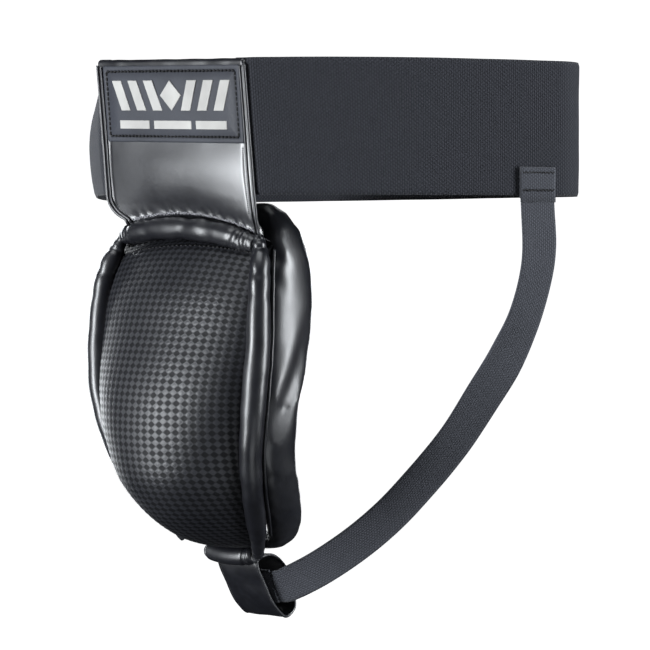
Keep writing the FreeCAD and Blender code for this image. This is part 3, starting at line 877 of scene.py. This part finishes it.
def dome():
    """The embossed cover. Returns its points, for the stitches on it."""
    rows, columns = 296, 232
    points = dome_grid(rows, columns)
    normal = normals_of(points)
    if normal[rows // 2, columns // 2, 1] > 0:
        normal = -normal
    across = lengths_along(points, 1)
    across = (across - across[:, [columns // 2]]) / CELL_STRETCH
    down = lengths_along(points, 0)[:, [columns // 2]] + 0 * across
    height = weave(across, down, CELL)
    edge = np.minimum(np.arange(rows)[:, None], (rows - 1 - np.arange(rows))[:, None])
    edge = np.minimum(edge, np.minimum(np.arange(columns), columns - 1 - np.arange(columns))[None, :])
    height = height * np.clip(edge / 6.0, 0, 1)
    points = points + normal * (0.32 * height[..., None])
    flat = np.stack([across, down], axis=2)
    # The cover's edge runs on under the rolls.
    top = points[:1] + np.array([0, 3.0, 3.5])
    foot = points[-1:] * (0.7, 1, 1) + np.array([0, 4.0, -3.0])
    sheet = np.concatenate([top + np.array([0, 3.0, 2.5]), top, points, foot])
    cloth = np.concatenate([flat[:1] - np.array([0, 8.0]), flat[:1] - np.array([0, 4.0]), flat,
                            flat[-1:] + np.array([0, 6.0])])
    hem = np.array([4.5, 0.5, 0]) * np.clip(np.linspace(2.6, -0.4, len(sheet)), 0, 1)[:, None, None]
    sheet = np.concatenate([sheet[:, :1] + hem * (-1, 1, 1), sheet, sheet[:, -1:] + hem], axis=1)
    more = np.array([4.0, 0])
    cloth = np.concatenate([cloth[:, :1] - more, cloth, cloth[:, -1:] + more], axis=1)
    obj = grid("cup_cover_embossed", sheet, PU_DOME, flat=cloth)
    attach(obj, "cup")
    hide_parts("cup_cover", "cup_shell")
    return points


dome_points = dome()


def inner_face():
    """Lining of the hollow on the body side."""
    points = dome_grid(80, 70, 5.0)
    points[..., 2] = -247.0 + 0.977 * (points[..., 2] - DOME[-1][0])
    points[..., 1] += 5.0
    flat = np.stack([lengths_along(points, 1), lengths_along(points, 0)], axis=2)
    obj = grid("cup_inner_lining", points, LINING, flat=flat, flip=True)
    thick = obj.modifiers.new("thickness", "SOLIDIFY")
    thick.thickness = 1.2 * MM
    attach(obj, "cup")
    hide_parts("cup_lining", "cup_foam")


inner_face()


# ---- rolls round the rim ----
def creased(seed, creases):
    """Surface change of a roll: soft swelling, and creases at (place, width, depth, slant)."""
    def shape(s, a, total):
        change = 0.4 * ripple((s, 4 * math.cos(a), 4 * math.sin(a)), 11.0, seed)
        for place, width, depth, slant in creases:
            where = place if place >= 0 else total + place
            change -= depth * bump_at(s + slant * math.sin(a), where, width)
        return change
    return shape


def side_roll(side, word):
    """Roll down one side of the rim, thin and tightly creased at its top end."""
    profile = through([(half, back, z) for z, half, back in RIM])
    path = [(side * 58.6, FRONT + 9.6, -62.6)]
    radii = [2.4]
    count = 150
    for i in range(count + 1):
        t = (1.0 if side > 0 else 0.94) * i / count
        half, back, z = profile(t)
        full = ROLL_R + 1.5 * bump_at(z, -150.0, 60.0)
        radius = full * (0.62 + 0.38 * min(1.0, t / 0.07)) * (1 - 0.3 * max(0.0, (t - 0.86) / 0.095))
        inward = 2.0 * max(0.0, 1 - t / 0.06)
        wander = 0.4 * ripple((0, 0, z), 30.0, 2.2)
        path.append((side * (half - inward + wander), FRONT + back - 2.0 - 0.7 * (full - ROLL_R), z))
        radii.append(radius)
    creases = [(4, 1.0, 1.0, 1.5), (8.5, 1.2, 0.9, 2.5), (14, 1.6, 0.8, -3.0), (24, 2.6, 0.6, 4.0),
               (41, 4.0, 0.4, -4.0), (-6, 1.2, 0.7, 2.0), (-14, 2.2, 0.4, -3.0)]
    obj = tube("rim_roll_%s_cover" % word, path, radii, PU, 28, creased(3.0 + side, creases))
    subdivide(obj)
    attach(obj, "cup")
    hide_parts("rim_roll_" + word)


def cross_roll(name, reach, edge_z, rise, tilt, behind, bow, radius, creases, seed):
    """Roll across the rim: its half length, height at the ends, rise in the middle, slope and bow."""
    path = []
    count = 90
    for i in range(count + 1):
        x = reach * (2 * i / count - 1)
        t = 1 - (x / reach) ** 2
        path.append((x, FRONT + behind - bow * t, edge_z + rise * t - tilt * x))
    radii = [radius * (0.72 + 0.28 * min(1.0, min(i, count - i) / 7.0)) for i in range(count + 1)]
    obj = tube(name + "_cover", path, radii, PU, 28, creased(seed, creases))
    subdivide(obj)
    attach(obj, "cup")
    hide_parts(name)


for side, word in ((1, "right"), (-1, "left")):
    side_roll(side, word)
TOP_CREASES = [
    (3, 0.9, 0.8, 1.0), (7, 1.0, 0.8, -1.5), (11.5, 1.3, 0.6, 2.0), (30, 5.0, 0.7, 4.0),
    (58, 5.0, 0.8, -4.0), (83, 5.0, 0.5, 4.0), (-19, 1.6, 0.6, -3.0), (-13, 1.2, 0.8, -2.5),
    (-8.5, 1.0, 0.9, 2.0), (-4.5, 0.8, 0.8, 1.5),
]
BOTTOM_CREASES = [(3, 1.0, 0.8, 1.0), (-3, 1.0, 0.8, 1.0), (-6.5, 0.9, 0.7, -1.0)]
cross_roll("rim_roll_top", 57.5, -66.5, 7.0, 0.05, 9.5, 3.0, ROLL_R + 0.9, TOP_CREASES, 5.0)
cross_roll("rim_roll_bottom", 20.0, -258.6, -1.6, 0.02, 45.5, 2.0, ROLL_R - 0.2, BOTTOM_CREASES, 6.0)


def piping():
    """Thin cord in the seam between each side roll and the cushion."""
    levels = np.linspace(-72.0, -245.0, 110)
    for side, word in ((1, "right"), (-1, "left")):
        path = [(side * (rim_half(z) + 5.2 + 0.3 * ripple((0, side, z), 9.0, 4.0)),
                 FRONT + rim_back(z) + 3.9, z) for z in levels]
        obj = tube("rim_seam_%s" % word, path, [0.9] * len(path), PU, 10)
        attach(obj, "cup")
        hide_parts("rim_piping_" + word)


piping()


def dome_sewing():
    """Stitches on the dome, close under the top roll."""
    row = 9
    columns = range(16, dome_points.shape[1] - 16, 4)
    normal = normals_of(dome_points)
    centres, ways = [], []
    for j in columns:
        n = normal[row, j]
        n = -n if n[1] > 0 else n
        centres.append(dome_points[row, j] + n * 0.15)
        ways.append(dome_points[row, j + 1] - dome_points[row, j - 1])
    obj = capsules("dome_sewing", centres, ways, 1.9, 0.5, THREAD)
    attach(obj, "cup")
    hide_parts("cup_rim_stitching")


dome_sewing()


# ---- body-side cushion ----
BLUNT = 0.72  # 1 gives an elliptic section, less a squarer one


def cushion():
    """The padded ring on the body side: a blunt oval section swept round RING."""
    path = through(RING)
    half = 110
    ring = [path(i / half) for i in range(half + 1)]
    ring += [(-x, z, f, d, w) for x, z, f, d, w in ring[-2:0:-1]]
    outline = np.array([(p[0], p[1]) for p in ring])
    along = np.roll(outline, -1, 0) - np.roll(outline, 1, 0)
    along /= np.linalg.norm(along, axis=1, keepdims=True)
    sides = 40
    rows = []
    for i, (x, z, front, depth, width) in enumerate(ring):
        outward = np.array([-along[i, 1], along[i, 0]])
        row = []
        for k in range(sides):
            a = 2 * math.pi * k / sides
            c, s = math.cos(a), math.sin(a)
            u = math.copysign(abs(c) ** BLUNT, c)
            v = math.copysign(abs(s) ** BLUNT, s)
            out = -width / 2 + u * width / 2
            back = depth / 2 + v * depth / 2
            row.append((x + outward[0] * out, FRONT + front + back, z + outward[1] * out))
        rows.append(row)
    points = np.array(rows)
    normal = normals_of(points, wrap=True, ring=True)
    middle = points.mean(axis=1, keepdims=True)
    sign = np.sign(((points - middle) * normal).sum())
    normal *= sign
    obj = grid("body_cushion", points - normal * 1.2, PU, wrap=True, ring=True, flip=sign < 0)
    inflate(obj, 5.0, 4.0)
    crease(obj)
    subdivide(obj)
    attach(obj, "cup")
    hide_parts("side_cushion_right", "side_cushion_left", "top_cushion", "bottom_cushion")


def inflate(obj, voxel, cap):
    """Blow the pad up with a short cloth simulation; no point moves further than the cap, in millimetres."""
    scene = bpy.context.scene
    remesh = obj.modifiers.new("remesh", "REMESH")
    remesh.mode = "VOXEL"
    remesh.voxel_size = voxel * MM
    old = obj.data
    obj.data = bpy.data.meshes.new_from_object(obj.evaluated_get(bpy.context.evaluated_depsgraph_get()))
    obj.modifiers.clear()
    start = read_points(obj.data)
    cloth = obj.modifiers.new("cloth", "CLOTH")
    cloth.settings.use_pressure = True
    cloth.settings.uniform_pressure_force = 4.0
    cloth.settings.effector_weights.gravity = 0.0
    cloth.settings.quality = 6
    cloth.point_cache.frame_end = 20
    for frame in range(1, 21):
        scene.frame_set(frame)
    blown = bpy.data.meshes.new_from_object(obj.evaluated_get(bpy.context.evaluated_depsgraph_get()))
    move = (read_points(blown) - start) / MM
    length = np.maximum(np.linalg.norm(move, axis=1, keepdims=True), 1e-9)
    move *= cap * (1 - np.exp(-length / cap)) / length
    obj.modifiers.clear()
    scene.frame_set(1)
    write_points(obj.data, start + move * MM)
    obj.data.shade_smooth()
    if not obj.data.materials:
        obj.data.materials.append(old.materials[0])


def crease(obj):
    """Soft creases and dents in the sides of the cushion."""
    creases = [  # start and end (y behind front, z), width, depth
        ((38.0, -112.0), (15.0, -180.0), 4.2, 2.3), ((22.0, -112.0), (13.0, -150.0), 6.0, 0.7),
        ((9.0, -70.0), (20.0, -82.0), 2.6, 1.5), ((8.0, -83.0), (17.0, -95.0), 2.2, 1.1)]
    points = read_points(obj.data)
    normal = np.zeros(len(points) * 3)
    obj.data.vertices.foreach_get("normal", normal)
    normal = normal.reshape(-1, 3)
    for i, point in enumerate(points):
        p = point / MM
        value = 0.3 * ripple(p, 36.0, 2.0) + 0.1 * ripple(p, 14.0, 5.0)
        q = np.array([p[1] - FRONT, p[2]])
        for a, b, width, depth in creases:
            a, b = np.array(a), np.array(b)
            t = min(1.0, max(0.0, (q - a).dot(b - a) / (b - a).dot(b - a)))
            gap = np.linalg.norm(q - a - (b - a) * t)
            fade = math.sin(math.pi * (0.08 + 0.84 * t))
            value -= depth * fade * (bump_at(gap, 0, width) - 0.45 * bump_at(gap, 2.3 * width, width))
        points[i] += normal[i] * value * MM
    write_points(obj.data, points)


cushion()


# ---- leg straps ----
def strap_anchor():
    """Where the strap meets the waistband in plan, and the band's heading there."""
    turn = SIDE_TURN - 3.2
    centre, radius, _, _ = LOOP[1]
    return centre - left_of(turn) * (radius + BAND_T / 2), turn


def strap_frames():
    """Middle, face direction, width direction and length so far, along the right leg strap."""
    count = 170
    anchor, turn = strap_anchor()
    outward = -left_of(turn)
    end = anchor + outward * (0.4 + STRAP_T / 2)
    start = np.array([TUNNEL_W / 2 + 1.0, FRONT + TUNNEL_STRAP])
    points = []
    for t, z in STRAP_PATH:
        back = 18.0 * math.sin(math.pi * t) ** 1.3
        plan = start + (end - start) * t + np.array([-0.967, 1.0]) * back
        points.append((*plan, z))
    path = through(points)
    middles = np.array([path(i / count) for i in range(count + 1)])
    along = np.gradient(middles, axis=0)
    along /= np.linalg.norm(along, axis=1, keepdims=True)
    length = np.concatenate([[0], np.cumsum(np.linalg.norm(np.diff(middles, axis=0), axis=1))])
    frames = []
    for i in range(count + 1):
        t = i / count
        face = TUNNEL_FACE * (1 - t) ** 2 + np.array([*outward, 0]) * (1 - (1 - t) ** 2)
        lean = 0.55 * bump_at(t, 0.64, 0.10) - 0.45 * bump_at(t, 0.82, 0.08)
        face = face + np.array([0, 0, lean])
        across = np.cross(along[i], face)
        across /= np.linalg.norm(across)
        face = np.cross(across, along[i])
        frames.append((middles[i], face, across, length[i]))
    return frames


def leg_strap():
    """The free lengths of strap, which bend between the waistband and the cup."""
    frames = strap_frames()
    length = frames[-1][3]
    columns = 14

    def place(i, j):
        middle, face, across, s = frames[i]
        w = STRAP_W * (j / columns - 0.5)
        ends = min(1.0, s / 25.0, (length - s) / 25.0)
        curl = 0.9 * math.sin(s / 21.0) * (2 * w / STRAP_W) ** 2 + 0.5 * ripple((s, w, 0), 24.0, 3.0)
        p = middle + across * w + face * (curl * ends)
        half = STRAP_T / 2 * (0.75 if j in (0, columns) else 1.0)
        return p + face * half, p - face * half, (w, s)

    right = slab("leg_strap_right_cloth", len(frames) - 1, columns, place, WEBBING, 0.3)
    left = mirrored(right, "leg_strap_left_cloth")
    for obj, word, side in ((right, "right", 1), (left, "left", -1)):
        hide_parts("leg_strap_" + word)
        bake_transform(obj)


leg_strap()


TACKS = (-26.5, -37.0)  # heights of the two rows of stitches through a strap end


def strap_end():
    """The doubled strap end, folded under at the top, sewn to the outside of the waistband."""
    anchor, turn = strap_anchor()
    outward = np.array([*(-left_of(turn)), 0])
    a = math.radians(turn)
    along = np.array([math.cos(a), math.sin(a), 0])
    base = np.array([*anchor, 0])
    # Section of the fold: out from the band, and height.
    section = [(2.5, -44.0), (2.6, -36.0), (2.9, -28.0), (2.7, -24.2), (1.9, -23.2), (1.0, -23.4),
               (0.5, -24.6), (0.45, -32.0), (0.4, -41.5), (1.1, -41.7), (1.15, -33.0), (1.25, -26.2),
               (1.5, -25.4), (1.8, -26.4), (1.7, -33.0), (1.45, -44.0)]
    outer, flat = [], []
    columns = 12
    for j in range(columns + 1):
        w = (STRAP_W + 1.0) * (j / columns - 0.5)
        row, cloth = [], []
        for k, (out, z) in enumerate(section):
            press = 0.35 * sum(bump_at(z, tack, 1.2) for tack in TACKS) if k < 4 else 0
            height = z + 0.3 * ripple((w, 0, 0), 8.0, k)
            row.append(base + along * w + outward * (out - press) + np.array([0, 0, height]))
            cloth.append((w, z if k < 5 else -z))
        outer.append(row)
        flat.append(cloth)
    right = grid("strap_end_right_cloth", outer, WEBBING, wrap=True, caps=True, flat=flat)
    centres, ways = [], []
    for z in TACKS:
        for k in range(18):
            w = STRAP_W * ((k + 0.5) / 18 - 0.5) * 0.96
            slant = 0.7 if k % 2 else -0.7
            centres.append(base + along * w + outward * 2.75 + np.array([0, 0, z + 0.2 * slant]))
            ways.append(along * 1.0 + np.array([0, 0, slant]))
    tacks = capsules("strap_tacks_right_thread", centres, ways, 1.9, 0.42, THREAD)
    for obj, kind, slot_name in ((right, "strap_end_", "strap_elastic"), (tacks, "strap_tacks_", "thread")):
        left = mirrored(obj, obj.name.replace("right", "left"))
        for side_obj, word in ((obj, "right"), (left, "left")):
            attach(side_obj, "waistband")
            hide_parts(kind + word)


strap_end()


# ---- loop under the cup ----
def tunnel():
    """The loop under the cup that the strap runs through, with a bead along each cut edge."""
    # Section of the loop: behind the front, and height.
    outline = [(50.5, -262.5), (57.5, -280), (67, -294), (77, -300.5), (84, -296), (82.5, -282), (75, -267),
               (63, -259.5)]
    chain = [outline[-1]] + outline + outline[:2]
    curve = through(chain)
    lengths = np.linalg.norm(np.diff(np.array(chain, float), axis=0), axis=1)
    first = lengths[0] / lengths.sum()
    last = 1 - lengths[-1] / lengths.sum()
    around, columns = 64, 18
    ring = np.array([curve(first + (last - first) * k / around) for k in range(around)])
    step = np.roll(ring, -1, 0) - np.roll(ring, 1, 0)
    normal = np.stack([step[:, 1], -step[:, 0]], axis=1)
    normal /= np.linalg.norm(normal, axis=1, keepdims=True)
    if ((ring - ring.mean(0)) * normal).sum() < 0:
        normal = -normal
    outer = np.zeros((around, columns + 1, 3))
    for k, (y, z) in enumerate(ring):
        for j in range(columns + 1):
            x = TUNNEL_W * (j / columns - 0.5)
            soft = 0.5 * ripple((x, y, z), 13.0, 6.0)
            q = ring[k] + normal[k] * soft
            outer[k, j] = (x + 0.5 * ripple((y, z, j // columns), 10.0, 2.0), FRONT + q[0], q[1])
    inward = np.zeros((around, 1, 3))
    inward[:, 0, 1:] = -normal * 1.5
    verts = np.concatenate([outer.reshape(-1, 3), (outer + inward).reshape(-1, 3)])
    n = around * (columns + 1)
    walls = grid_faces(around, columns + 1, ring=True)
    faces = walls + [tuple(n + i for i in f[::-1]) for f in walls]
    for k in range(around):
        here, below = k * (columns + 1), (k + 1) % around * (columns + 1)
        for j in (0, columns):
            quad = (here + j, below + j, n + below + j, n + here + j)
            faces.append(quad[::-1] if j else quad)
    obj = piece("strap_tunnel_cover", verts, faces, PU)
    subdivide(obj)
    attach(obj, "cup")
    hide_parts("strap_tunnel")
    edge = ring - normal * 0.7
    for side, word in ((-1, "left"), (1, "right")):
        path = [(side * TUNNEL_W / 2, FRONT + y, z) for y, z in [*edge, edge[0]]]
        bead = tube("tunnel_edge_" + word, path, [0.95] * len(path), PU_EDGE, 10)
        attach(bead, "cup")


tunnel()


def tunnel_strap():
    """The stretch of strap inside the loop."""
    start = strap_frames()[0][0]
    rows, columns = 24, 10

    def place(i, j):
        x = start[0] * (2 * i / rows - 1)
        w = STRAP_W * (j / columns - 0.5)
        p = np.array([x, start[1] + 0.4 * w + 0.2 * math.sin(x / 6.0), start[2] - 0.917 * w])
        return p + TUNNEL_FACE * STRAP_T / 2, p - TUNNEL_FACE * STRAP_T / 2, (w, x)

    obj = slab("strap_in_tunnel_cloth", rows, columns, place, WEBBING, 0.3)
    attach(obj, "cup")
    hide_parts("strap_in_tunnel")


tunnel_strap()


def seam_sewing():
    """Rough zig-zag thread along the foot of the front panel."""
    centres, ways = [], []
    for thread, (pitch, swing) in enumerate(((1.5, 0.9), (1.15, 0.6))):
        points = []
        count = int(104.0 / pitch)
        for i in range(count + 1):
            s = -47.0 + 106.0 * i / count
            z = seam_z(s) + 1.2 + (swing if i % 2 else -swing) + 0.5 * ripple((s, thread, 0), 5.0, 4.0)
            points.append(panel_point(s, z, SKIN_OUT + panel_swell(s, z) + 0.1 + 0.15 * thread))
        for a, b in zip(points, points[1:]):
            centres.append((a + b) / 2)
            ways.append(b - a)
    obj = settle(capsules("panel_foot_sewing", centres, ways, 2.1, 0.26, SEAM_THREAD))
    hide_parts("panel_seam_stitching")
    panel_blend(obj)


seam_sewing()


# ---- stage, light, camera ----
CAMERA_TURN = 44.0
CAMERA_DISTANCE = 1.7
CAMERA_HEIGHT = -0.072
CAMERA_LENS = 150.1
LOOK_RIGHT, LOOK_DOWN = 0.01472, 0.02792  # slopes of the view from level and straight ahead


def backdrop():
    """Pale floor that curves up into a wall all round, lit evenly white."""
    floor, radius, curve = -0.62, 5.0, 1.6
    profile = [(radius * (t + 0.01) / 8, floor) for t in range(8)]
    for t in range(13):
        a = math.pi / 2 * t / 12
        profile.append((radius + curve * math.sin(a), floor + curve * (1 - math.cos(a))))
    profile.append((radius + curve, 6.0))
    rows = []
    for r, z in profile:
        rows.append([(1000 * r * math.cos(a), 1000 * r * math.sin(a), 1000 * z)
                     for a in np.linspace(0, 2 * math.pi, 49)[:-1]])
    material, _, shader = new_material("backdrop", (0.9, 0.9, 0.9), 0.9, 0.1)
    shader.inputs["Emission Color"].default_value = (1, 1, 1, 1)
    shader.inputs["Emission Strength"].default_value = 1.0
    obj = grid("backdrop", rows, material, wrap=True, caps=True)
    obj.visible_glossy = False
    obj.visible_diffuse = False
    obj.visible_shadow = False


LIGHTS = [  # name, turn from the front of the cup, rise, distance, size, power
    ("front_left", -18.0, -2.0, 1.4, (0.38, 1.2), 48.0),
    ("left", -102.0, 4.0, 1.5, (0.6, 1.2), 18.0),
    ("low", 62.0, -46.0, 1.4, (0.8, 0.5), 2.5),
    ("right_back", 112.0, 8.0, 1.5, (0.45, 1.3), 46.0),
    ("top", 20.0, 66.0, 1.5, (1.2, 0.7), 13.0),
    ("left_back", -150.0, 15.0, 1.6, (0.7, 1.3), 16.0),
]
LIT = Vector((0, 0, -0.12))  # the point that the lights face


def area_light(name, turn, rise, distance, size, power):
    """An area light placed by its direction from the object."""
    light = bpy.data.lights.new(name, "AREA")
    light.shape = "RECTANGLE"
    light.size, light.size_y = size
    light.energy = power
    light.color = (0.93, 0.965, 1.0)
    obj = bpy.data.objects.new(name, light)
    a, b = math.radians(turn), math.radians(rise)
    place = Vector((math.sin(a) * math.cos(b), -math.cos(a) * math.cos(b), math.sin(b))) * distance
    obj.location = place + LIT
    obj.rotation_euler = (LIT - obj.location).to_track_quat("-Z", "Y").to_euler()
    bpy.context.scene.collection.objects.link(obj)


def studio():
    backdrop()
    world = bpy.data.worlds.new("studio")
    world.use_nodes = True
    world.node_tree.nodes["Background"].inputs["Color"].default_value = (0.93, 0.96, 1.0, 1)
    world.node_tree.nodes["Background"].inputs["Strength"].default_value = 0.02
    bpy.context.scene.world = world
    for light in LIGHTS:
        area_light(*light)
    bpy.context.scene.view_settings.view_transform = "Standard"


studio()


def set_camera():
    data = bpy.data.cameras.new("camera")
    data.lens = CAMERA_LENS
    data.sensor_width = 36.0
    camera = bpy.data.objects.new("camera", data)
    turn = math.radians(CAMERA_TURN)
    ahead = Vector((-math.sin(turn), math.cos(turn), 0))
    right = Vector((math.cos(turn), math.sin(turn), 0))
    camera.location = ahead * -CAMERA_DISTANCE + Vector((0, 0, CAMERA_HEIGHT))
    look = ahead + right * LOOK_RIGHT - Vector((0, 0, LOOK_DOWN))
    camera.rotation_euler = look.to_track_quat("-Z", "Y").to_euler()
    bpy.context.scene.collection.objects.link(camera)
    bpy.context.scene.camera = camera


set_camera()
